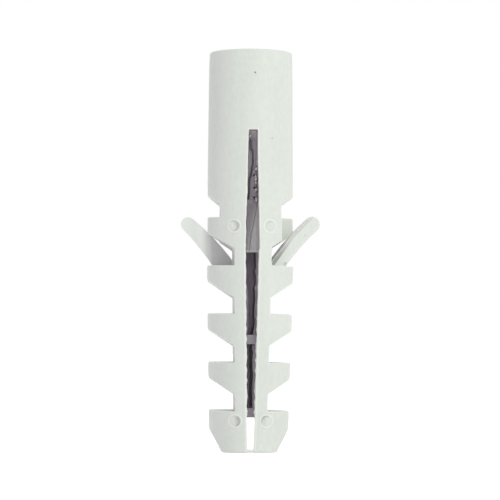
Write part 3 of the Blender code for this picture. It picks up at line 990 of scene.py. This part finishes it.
# %% The plug's outside as a formula
RADIUS_HEIGHTS = np.array([0.0, 25.15, 31.78, 50.0]) * MM
RADII = np.array([5.31, 5.41, 5.34, 5.19]) * MM
LEAN_TOP = 25.15 * MM
DRIFT_TOP = 30.69 * MM
DRIFT = 0.06 * MM
LEFT_LEAN = math.radians(0.65)
RIGHT_LEAN = math.radians(1.2)
MOUTH_FOOT = 49.0 * MM


def mesh_points(mesh):
    """Give a mesh's points as an array of rows x, y, z."""
    flat = np.empty(len(mesh.vertices) * 3)
    mesh.vertices.foreach_get("co", flat)
    return flat.reshape(-1, 3)


plug_points = mesh_points(cad_plug.data)
mouth = plug_points[plug_points[:, 2] > MOUTH_FOOT]
AXIS_X = 0.5 * (mouth[:, 0].min() + mouth[:, 0].max())
print("the mouth's axis is at x =", round(AXIS_X / MM, 3), "mm")


def turned_radius(height):
    """Radius of the turned outside: straight lines between the named heights."""
    return np.interp(height, RADIUS_HEIGHTS, RADII)


def lean_shift(height, side):
    """How far a half has moved in x at a height.

    The drift grows evenly from its top down to the lean's top. Below that the
    half also moves towards the slot by the drop times the lean's tangent.
    """
    drift = DRIFT * np.clip((DRIFT_TOP - height) / (DRIFT_TOP - LEAN_TOP), 0.0, 1.0)
    drop = np.maximum(LEAN_TOP - height, 0.0)
    inwards = np.where(
        np.asarray(side) > 0.0, -math.tan(RIGHT_LEAN), math.tan(LEFT_LEAN)
    )
    return AXIS_X + drift + drop * inwards


def front_of_plug(x, height, side):
    """Depth of the front: y = -sqrt(radius^2 - (x - shift)^2)."""
    across = x - lean_shift(height, side)
    return -np.sqrt(np.maximum(turned_radius(height) ** 2 - across ** 2, 0.0))


def flank_of_plug(height, side):
    """The outermost x of a half at a height: side * radius + shift."""
    return side * turned_radius(height) + lean_shift(height, side)


# %% [markdown]
# ## From a grid of points to a piece
#
# Every new piece is a surface worked out as whole arrays: a grid of points,
# rows along one parameter and columns along the other. One helper turns any
# number of such grids into one mesh. It joins the last column to the first
# where a grid is a tube, merges the points of a pole, and turns the faces
# outwards while the shell is still closed and simple. Two more helpers give
# the angles round a section, and a small unevenness that never quite repeats,
# because it is the product of two waves of different length.

# %% Helpers: angles, ripples, and grids into one mesh


def turns(count):
    """Angles of a full turn in equal steps, without the last one."""
    return np.linspace(0.0, 2.0 * math.pi, count, endpoint=False)


def ripple(u, fast, slow, fast_start=0.0, slow_start=0.0):
    """Product of two waves: sin(fast u + its start) * sin(slow u + its start)."""
    return np.sin(fast * u + fast_start) * np.sin(slow * u + slow_start)


def piece_from_grids(name, sheets, tube, ring=False):
    """Make one mesh of several grids of points, each (rows, columns, 3).

    Four neighbours make a quad. A tube closes its columns, a ring its rows.
    """
    corners = []
    quads = []
    start = 0
    for sheet in sheets:
        rows, columns = sheet.shape[:2]
        index = np.arange(rows * columns).reshape(rows, columns)
        if tube:
            index = np.hstack([index, index[:, :1]])
        if ring:
            index = np.vstack([index, index[:1]])
        around = (index[:-1, :-1], index[1:, :-1], index[1:, 1:], index[:-1, 1:])
        quads.append(np.stack(around, axis=-1).reshape(-1, 4) + start)
        corners.append(sheet.reshape(-1, 3))
        start += rows * columns
    mesh = bpy.data.meshes.new(name)
    mesh.from_pydata(
        np.concatenate(corners).tolist(), [], np.concatenate(quads).tolist()
    )
    bm = bmesh.new()
    bm.from_mesh(mesh)
    bmesh.ops.remove_doubles(bm, verts=bm.verts[:], dist=0.5 * SAME_PLACE)
    bmesh.ops.recalc_face_normals(bm, faces=bm.faces[:])
    bm.to_mesh(mesh)
    bm.free()
    mesh.shade_smooth()
    piece = bpy.data.objects.new(name, mesh)
    scene.collection.objects.link(piece)
    return piece


# %% [markdown]
# ## The burrs round the ejector marks
#
# Four pins push the plug out of its mould, and each leaves a shallow round
# mark in the front. The melt creeps into the gap round the pin and leaves a
# fine raised ring. The solid has the marks. The rings are added here, each a
# half-round section carried round a circle that lies on the plug's front,
# with its height wandering as it goes, because the gap is never even. The
# rings on the right are lower than those on the left.

# %% Burrs round the ejector marks
RIM_RADIUS = 0.68 * MM
RIM_WIDTH = 0.22 * MM
RIM_HEIGHT = 0.05 * MM
RIM_FOOT = 0.04 * MM


def burr_ring(x, height, phase, size):
    """A ring on the plug's front, for turn t and section angle s.

    Radius = rim + width * (1 - cos s) / 2, and the rise out of the surface is
    height * sin s above it, or foot * sin s where s has gone under it.
    """
    t, s = grid(turns(56), turns(12))
    wander = 1.0 + 0.4 * np.sin(t + phase) + 0.25 * np.sin(3.0 * t + 2.0 * phase)
    radius = RIM_RADIUS + 0.5 * RIM_WIDTH * (1.0 - np.cos(s))
    rise = np.where(s <= math.pi, RIM_HEIGHT * size * wander, RIM_FOOT) * np.sin(s)
    px = x + radius * np.cos(t)
    pz = height + radius * np.sin(t)
    py = front_of_plug(px, pz, math.copysign(1.0, x)) - rise
    return np.stack([px, py, pz], axis=-1)


rings = [
    burr_ring(x * MM, z * MM, 1.3 * step, size)
    for step, (x, z, _angle, _strength, size) in enumerate(MARKS)
]
ejector_rims = piece_from_grids("ejector_rims", rings, tube=True, ring=True)
finish_piece(ejector_rims, BURRED)

# %% [markdown]
# ## The parting line
#
# The two halves of the mould meet in the plane through the plug's axis that
# is parallel to the picture, so their joint runs down both flanks of the
# collar and of every tooth. It shows as a fine ridge of flash. Each ridge is
# a low half-round profile carried along the flank. Its height dies out at
# both ends, where the points of the profile fall together into a pole.

# %% Ridges along the parting line
RIDGE_HALF_WIDTH = 0.06 * MM
RIDGE_HEIGHT = 0.05 * MM
RIDGE_FOOT = 0.05 * MM
RIDGE_TAPER = 12.0
FLANKS = {
    1: ((32.1, 49.6), (21.2, 23.0), (15.2, 17.0), (9.1, 11.0), (3.1, 5.0)),
    -1: ((32.2, 49.6), (21.3, 23.15), (15.3, 17.1), (9.3, 11.1), (3.1, 5.1)),
}


def ridge(low, high, side):
    """A ridge on one flank, for height z and section angle s.

    Across: y = half width * cos s. Out of the flank: height * sin s above it,
    or foot * sin s under it. Both are scaled by how far z is from the ends.
    """
    z, s = grid(np.linspace(low * MM, high * MM, 40), turns(10))
    along = (z / MM - low) / (high - low)
    size = np.clip(RIDGE_TAPER * along * (1.0 - along), 0.0, 1.0)
    wander = 0.85 + 0.15 * ripple(z, 3.1e3, 1.7e3, side)
    out = np.where(s <= math.pi, RIDGE_HEIGHT * wander, RIDGE_FOOT) * np.sin(s) * size
    px = flank_of_plug(z, side) + side * out
    py = RIDGE_HALF_WIDTH * np.cos(s) * size
    return np.stack([px, py, z], axis=-1)


ridges = [
    ridge(low, high, side) for side, spans in FLANKS.items() for low, high in spans
]
parting_line = piece_from_grids("parting_line", ridges, tube=True)
finish_piece(parting_line, BURRED)

# %% [markdown]
# ## Flash in the lower slot
#
# The slot was made by two blades that met in the parting plane. Where they
# did not quite touch, a thin film of nylon was left across the slot, and it
# tore from top to bottom when the blades drew back. The strip on the right
# wall kept a ragged free edge, which was read off the photograph as a list of
# heights and places. Each sheet is the straight blend from that edge to the
# wall: P(u, v) = (1 - v) * edge(u) + v * wall(u). The wider strip on the left
# wall lies about two millimetres further back, and its edge follows the
# first one at a distance, so that a dark crack is left between them, a tenth
# of a millimetre wide above the upper tie and three tenths below it. A
# Solidify modifier gives the sheets their thickness.

# %% Flash in the lower slot
FLASH_THICKNESS = 0.06 * MM
RIGHT_FLASH = np.array([
    (25.0, 0.66), (24.47, 0.66), (23.46, 0.67), (22.96, 0.69), (22.45, 0.54),
    (21.95, 0.66), (20.95, 0.66), (20.44, 0.48), (19.94, 0.58), (18.94, 0.58),
    (18.43, 0.54), (17.93, 0.46), (16.93, 0.47), (16.43, 0.55), (15.93, 0.51),
    (15.42, 0.48), (14.92, 0.34), (14.4, 0.29), (13.16, 0.22), (12.79, 0.23),
    (12.29, 0.34), (11.79, 0.26), (11.29, 0.23), (10.28, 0.24), (9.78, 0.35),
    (9.28, 0.33), (8.78, 0.27), (8.28, 0.24), (7.78, 0.20), (7.28, 0.24),
    (6.28, 0.25), (5.78, 0.26), (5.15, 0.27), (4.8, 0.27),
]) * MM
LEFT_FLASH = np.array([
    (21.0, -0.55), (20.44, -0.37), (19.94, -0.26), (18.93, -0.23), (17.68, -0.24),
    (16.42, -0.25), (15.17, -0.24), (14.79, -0.31), (14.4, -0.40),
]) * MM
SLOT_LEFT = -0.67 * MM
SLOT_RIGHT = 0.75 * MM
WALL_LAP = 0.10 * MM
BACK_LOW = 5.3 * MM
BACK_HIGH = 24.98 * MM
BACK_HEIGHTS = np.array([5.3, 13.0, 15.0, 25.0]) * MM
BACK_DEPTHS = np.array([-0.9, -0.6, 0.1, 0.7]) * MM
RIGHT_DEPTHS = np.array([[4.8, 13.0, 15.0, 25.0], [2.7, 2.5, 1.9, 1.8]]) * MM
LEFT_DEPTHS = np.array([[14.4, 21.0], [1.6, 1.2]]) * MM
CRACK_HEIGHTS = np.array([5.2, 12.6, 14.0, 15.5, 22.0, 25.0]) * MM
CRACK_GAPS = np.array([0.30, 0.34, 0.22, 0.13, 0.12, 0.16]) * MM


def slot_wall(height, side):
    """x of the slot's wall in the parting plane, moved with its leaning half."""
    moulded = SLOT_RIGHT if side > 0 else SLOT_LEFT
    return moulded + lean_shift(height, side)


def read_off(table, height):
    """Straight lines between the heights and places of a table."""
    order = np.argsort(table[:, 0])
    return np.interp(height, table[order, 0], table[order, 1])


def sheet_grid(low, high, rows, columns):
    """Heights u from low to high down the rows, shares v from 0 to 1 across."""
    return grid(np.linspace(low, high, rows), np.linspace(0.0, 1.0, columns))


def flash_sheet(edge, side, rows, columns, depths):
    """A sheet from a torn edge to the slot's wall, slightly wavy in depth.

    The depths are a pair of lists, heights and how far in front of the
    parting plane the sheet lies there.
    """
    u, v = sheet_grid(edge[:, 0].min(), edge[:, 0].max(), rows, columns)
    torn = read_off(edge, u) + 0.02 * MM * ripple(u, 2.6e4, 0.9e4, 0.0, 1.0)
    wall = slot_wall(u, side) + side * WALL_LAP
    px = (1.0 - v) * torn + v * wall
    forward = np.interp(u, depths[0], depths[1])
    py = 0.05 * MM * np.sin(2.2e3 * u + 3.0 * v) * (1.0 - v) - forward
    return np.stack([px, py, u], axis=-1)


def back_sheet(rows, columns):
    """The left strip: from the left wall to the torn edge less the crack.

    P(u, v) = (1 - v) * wall(u) + v * (edge(u) - gap(u)), behind the parting
    plane above the upper tie and in front of it below.
    """
    u, v = sheet_grid(BACK_LOW, BACK_HIGH, rows, columns)
    free = read_off(RIGHT_FLASH, u) - np.interp(u, CRACK_HEIGHTS, CRACK_GAPS)
    free = free + 0.03 * MM * ripple(u, 1.9e4, 0.7e4, 0.5)
    wall = slot_wall(u, -1) - WALL_LAP
    px = (1.0 - v) * wall + v * free
    py = np.interp(u, BACK_HEIGHTS, BACK_DEPTHS)
    py = py + 0.06 * MM * np.sin(1.6e3 * u + 2.0 * v) * v
    return np.stack([px, py, u], axis=-1)


def solid_sheet(name, sheets, thickness):
    """Join sheets in one piece and give it its thickness."""
    piece = piece_from_grids(name, sheets, tube=False)
    skin = piece.modifiers.new("thickness", "SOLIDIFY")
    skin.thickness = thickness
    skin.offset = 0.0
    skin.use_even_offset = False
    return piece


slot_flash = solid_sheet(
    "slot_flash",
    [
        flash_sheet(RIGHT_FLASH, 1, 300, 5, RIGHT_DEPTHS),
        flash_sheet(LEFT_FLASH, -1, 90, 4, LEFT_DEPTHS),
    ],
    FLASH_THICKNESS,
)
finish_piece(slot_flash, TORN)
# the left strip's darker finish is painted shade
slot_back_film = solid_sheet("slot_back_film", [back_sheet(260, 7)], FLASH_THICKNESS)
finish_piece(slot_back_film, BACK_SHADE_FINISH)

# %% [markdown]
# ## Ragged walls
#
# The blades also tore the slot's two front edges a little, most of all below
# the upper tie. Along each edge a narrow fringe stands into the slot, up to a
# sixth of a millimetre. Its free edge is a wave whose length changes on the
# way and a shorter one on top of it, so it never repeats:
# width(z) = reach(z) * (0.45 + 0.3 sin t + 0.25 sin t sin(2.7 t)) with
# t = 2 pi z / pitch + 1.6 sin(2 pi z / drift).

# %% Fringes on the slot's walls
FRINGE_DEPTH = -4.95 * MM
FRINGE_THICKNESS = 0.12 * MM
FRINGE_PITCH = 1.7 * MM
FRINGE_DRIFT = 5.3 * MM
FRINGE_SWING = 1.6
FRINGE_HEIGHTS = np.array([3.9, 4.6, 13.0, 14.6, 24.0, 26.0, 34.0, 38.5]) * MM
FRINGE_REACH = np.array([0.0, 0.16, 0.16, 0.11, 0.09, 0.08, 0.06, 0.0]) * MM
UPPER_SLOT = np.array([
    (-0.69, 0.85, 25.15), (-0.60, 0.79, 28.9), (-0.43, 0.75, 32.6),
    (-0.39, 0.60, 36.4), (-0.28, 0.58, 39.95),
]) * MM
SLOT_DRAFT = math.tan(math.radians(1.45))


def upper_wall(height, side, depth):
    """x of an upper slot wall at a height and a depth, with draft and drift."""
    places = UPPER_SLOT[:, 1] if side > 0 else UPPER_SLOT[:, 0]
    moulded = np.interp(height, UPPER_SLOT[:, 2], places)
    return moulded + lean_shift(height, side) - side * depth * SLOT_DRAFT


def wall_at(height, side, depth):
    """x of a slot wall: the upper one above the lean's top, else the lower."""
    lower = slot_wall(height, side) - side * depth * SLOT_DRAFT
    return np.where(height > LEAN_TOP, upper_wall(height, side, depth), lower)


def fringe(side, phase, rows):
    """A strip from inside the wall to its ragged free edge."""
    u, v = sheet_grid(FRINGE_HEIGHTS[0], FRINGE_HEIGHTS[-1], rows, 3)
    swing = np.sin(2.0 * math.pi * u / FRINGE_DRIFT + 2.0 * phase)
    turn = 2.0 * math.pi * u / FRINGE_PITCH + phase + FRINGE_SWING * swing
    ragged = 0.45 + np.sin(turn) * (0.3 + 0.25 * np.sin(2.7 * turn + phase))
    reach = np.interp(u, FRINGE_HEIGHTS, FRINGE_REACH) * ragged
    px = wall_at(u, side, FRINGE_DEPTH) + side * ((1.0 - v) * WALL_LAP - v * reach)
    return np.stack([px, 0.0 * u + FRINGE_DEPTH, u], axis=-1)


slot_fringes = solid_sheet(
    "slot_fringes", [fringe(-1, 0.7, 420), fringe(1, 2.9, 420)], FRINGE_THICKNESS
)
finish_piece(slot_fringes, BURRED)

# %% [markdown]
# ## The cracked film over the bore
#
# In the upper part of the slot the blade stopped just short of the core pin
# that makes the screw's bore, so a film was left between them. It has cracked
# from top to bottom, and the crack wanders and steps to the right and back.
# The film lies on the front of the bore, which tapers, so its depth follows
# the bore's radius: y = -(radius at this height). It is made of two sheets,
# one from each wall of the slot to its side of the crack. At the very top
# the two sides overlap, because the crack stops there. Behind them, eight
# tenths of a millimetre deeper, a dark sheet of painted shade is seen through
# the crack.

# %% The cracked film
FILM_THICKNESS = 0.12 * MM
CRACK_LEFT = np.array([
    (39.9, -0.08), (39.05, -0.08), (38.9, -0.30), (38.59, -0.31), (37.85, -0.28),
    (37.60, -0.23), (37.36, 0.07), (36.62, 0.10), (35.76, 0.11), (35.51, -0.01),
    (35.02, -0.03), (34.77, -0.14), (34.40, -0.16), (34.15, -0.36), (33.41, -0.40),
    (32.66, -0.40), (31.92, -0.43), (31.43, -0.46), (30.9, -0.50),
]) * MM
CRACK_RIGHT = np.array([
    (39.9, -0.24), (39.05, -0.24), (38.9, -0.08), (38.59, -0.03), (37.85, 0.03),
    (37.61, 0.20), (37.36, 0.22), (36.62, 0.23), (35.76, 0.23), (35.51, 0.12),
    (35.02, 0.12), (34.77, 0.01), (34.40, -0.01), (34.15, -0.18), (33.41, -0.20),
    (32.67, -0.21), (31.92, -0.26), (31.43, -0.34), (30.9, -0.44),
]) * MM
BORE_FOOT = 25.15 * MM
BORE_FOOT_RADIUS = 0.1 * MM
BORE_SLOPE = 3.4 / 17.35
FILM_LOW = 31.3 * MM
FILM_HIGH = 39.92 * MM
FILM_SWING = 1.1 * MM
SWING_LOW = 38.7 * MM
SWING_SPAN = 1.2 * MM
CRACK_WIDER = 0.05 * MM
BEHIND_GAP = 0.80 * MM
BEHIND_HIGH = 39.8 * MM
BEHIND_RIGHT = 0.38 * MM


def bore_radius(height):
    """Radius of the tapering bore: foot radius + slope * (height - foot)."""
    return BORE_FOOT_RADIUS + BORE_SLOPE * (height - BORE_FOOT)


def film_sheet(crack, side, rows, columns):
    """A sheet on the bore's front, from the slot's wall to the crack.

    P(u, v) = (1 - v) * crack(u) + v * wall(u), at y = -bore radius. In the
    last millimetre at the top it swings forward.
    """
    u, v = sheet_grid(FILM_LOW, FILM_HIGH, rows, columns)
    torn = read_off(crack, u) + side * CRACK_WIDER
    torn = torn + 0.02 * MM * ripple(u, 2.1e4, 0.8e4, side)
    depth = -bore_radius(u)
    wall = upper_wall(u, side, depth) + side * WALL_LAP
    px = (1.0 - v) * torn + v * wall
    py = depth + 0.06 * MM * np.sin(1.9e3 * u + 4.0 * side) * (1.0 - v)
    py = py - FILM_SWING * np.clip((u - SWING_LOW) / SWING_SPAN, 0.0, 1.0)
    return np.stack([px, py, u], axis=-1)


bore_film = solid_sheet(
    "bore_film",
    [
        film_sheet(CRACK_LEFT, -1, 130, 5),
        film_sheet(CRACK_RIGHT, 1, 130, 5),
    ],
    FILM_THICKNESS,
)
finish_piece(bore_film, TORN)


def behind_crack(rows, columns):
    """A plain sheet a little behind the film, from the left wall across."""
    u, v = sheet_grid(FILM_LOW, BEHIND_HIGH, rows, columns)
    px = (1.0 - v) * (upper_wall(u, -1, 0.0) - WALL_LAP) + v * BEHIND_RIGHT
    return np.stack([px, BEHIND_GAP - bore_radius(u), u], axis=-1)


# a dark sheet of painted shade behind the crack
crack_shade_sheet = solid_sheet("crack_shade_sheet", [behind_crack(60, 6)], FLASH_THICKNESS)
finish_piece(crack_shade_sheet, BACK_SHADE_FINISH)

# %% [markdown]
# ## The land below the film
#
# Under the cracked film, down to where the bore ends, the slot is closed by a
# smooth land. A crease runs down it, from the right wall at the top to left
# of the middle at the bottom. Left of the crease the land falls away towards
# the back, so it is darker there. At its foot it ends in a raised lip. Its
# depth is written as
# y(u, x) = land - rise * (how far right of the crease) + fall * (how far left
# of it) + groove * exp(-(off the crease / width)^2)
# - lip * exp(-((u - foot) / lip reach)^2), and at the top it swings back to
# meet the film. Each point keeps a share of painted light for the finish: all
# of it on the lip, as a painted highlight, part of it right of the crease, but
# none beside the right wall.

# %% The land below the film
LAND_FOOT = 24.84 * MM
LAND_TOP = 31.45 * MM
LAND_DEPTH = -2.40 * MM
LAND_FALL = 1.5 * MM
LAND_RISE = 0.1 * MM
LAND_THICKNESS = 0.10 * MM
CREASE = np.array([
    (24.84, -0.22), (25.3, -0.17), (26.9, 0.02), (29.4, 0.50), (31.45, 0.92),
]) * MM
GROOVE = 0.32 * MM
WALL_SHADE = 0.24 * MM
WALL_FADE = 0.06 * MM
LIP_REACH = 0.13 * MM
LIP_HEIGHT = 0.16 * MM
LIP_MIDDLE = 0.08 * MM
LIP_PALE_TOP = 0.28 * MM
LIP_FADE = 0.12 * MM
CREASE_WIDTHS = (0.12 * MM, 0.04 * MM)
MEET_FOOT = 29.2 * MM
MEET_DEPTH = -1.42 * MM
MEET_SHARE = 1.6
LAND_WAVE = 0.015 * MM
PALE_TOP = 30.6 * MM
PALE_FADE = 3.0 * MM
PALE_RIGHT = 0.55
PALE_LIP = 1.3


def slot_sides(height, depth):
    """x of the land's two sides, a little inside the upper slot's walls."""
    left = upper_wall(height, -1, depth) - WALL_LAP
    return left, upper_wall(height, 1, depth) + WALL_LAP


def share_of(distance, span):
    """Distance over span, kept between zero and one."""
    return np.clip(distance / span, 0.0, 1.0)


def land_sheet(rows, columns):
    """The land as a grid of heights u and shares v across the slot."""
    u, v = sheet_grid(LAND_FOOT, LAND_TOP, rows, columns)
    left, right = slot_sides(u, LAND_DEPTH)
    px = left + v * (right - left)
    off = px - read_off(CREASE, u)
    fall = LAND_FALL * share_of(-off, right - left)
    fall = fall - LAND_RISE * share_of(off, right - left)
    width = np.where(off < 0.0, *CREASE_WIDTHS)
    fall = fall + GROOVE * np.exp(-(off / width) ** 2)
    lip = LIP_HEIGHT * np.exp(-((u - LAND_FOOT - LIP_MIDDLE) / LIP_REACH) ** 2)
    swing = share_of(u - MEET_FOOT, LAND_TOP - MEET_FOOT) ** 2
    back = swing * (MEET_DEPTH - LAND_DEPTH) * np.clip(MEET_SHARE - v, 0.0, 1.0)
    py = LAND_DEPTH + fall * (1.0 - swing) - lip + back
    py = py + LAND_WAVE * ripple(u, 1.1e3, 2.3e3, 5.0e3 * px)
    return np.stack([px, py, u], axis=-1)


def keep_painted_light(piece):
    """Store for each point how pale the finish makes it.

    Right of the crease this painted light is the product of three shares:
    of the crease's width, of the height below the top, and of the room to
    the right wall. On the lip it is a painted highlight.
    """
    px, py, pz = mesh_points(piece.data).T
    gap = upper_wall(pz, 1, py) - px
    right = share_of(px - read_off(CREASE, pz), CREASE_WIDTHS[1])
    right = right * share_of(PALE_TOP - pz, PALE_FADE)
    right = right * share_of(gap - WALL_SHADE, WALL_FADE)
    lip = share_of(LAND_FOOT + LIP_PALE_TOP - pz, LIP_FADE)
    paleness = piece.data.attributes.new("painted_light_share", "FLOAT", "POINT")
    paleness.data.foreach_set("value", np.maximum(PALE_RIGHT * right, PALE_LIP * lip))


slot_land = solid_sheet("slot_land", [land_sheet(110, 61)], LAND_THICKNESS)
keep_painted_light(slot_land)
finish_piece(slot_land, LAND)

# %% [markdown]
# ## Crumbs on the film
#
# Where the film tore, small crumbs of nylon stayed on it, mostly along the
# right wall. Each is a lumpy ball, r = size * (1 + 0.25 sin 3a sin 2b), drawn
# out and flattened towards the front so that it catches the light:
# y = reach * s^0.4 with s = sin b sin a. Its poles are closed.

# %% Crumbs on the film
CRUMBS = np.array([
    (-0.24, 39.22, 0.09), (0.61, 36.10, 0.09), (0.60, 35.80, 0.10),
    (0.54, 35.20, 0.17), (0.47, 34.25, 0.15), (0.51, 33.90, 0.19),
    (0.54, 33.50, 0.16), (0.55, 32.60, 0.18), (0.62, 31.35, 0.19),
    (0.58, 31.58, 0.12), (0.22, 34.85, 0.08),
]) * MM
CRUMB_REACH = 1.0 * MM
CRUMB_FORWARD = 0.9 * MM


def crumb(x, height, size):
    """A lumpy ball on the film, for latitude b and longitude a."""
    b, a = grid(np.linspace(0.0, math.pi, 15), turns(24))
    lump = size * (1.0 + 0.25 * np.sin(3.0 * a + 40.0 * height / MM) * np.sin(2.0 * b))
    px = x + 0.8 * lump * np.sin(b) * np.cos(a)
    out = np.sin(b) * np.sin(a)
    reach = CRUMB_REACH * np.sign(out) * np.abs(out) ** 0.4
    py = -bore_radius(height) - CRUMB_FORWARD + reach
    return np.stack([px, py, height + 1.2 * lump * np.cos(b)], axis=-1)


crumbs = [crumb(*place) for place in CRUMBS]
film_crumbs = piece_from_grids("film_crumbs", crumbs, tube=True)
finish_piece(film_crumbs, CRUMBLED)
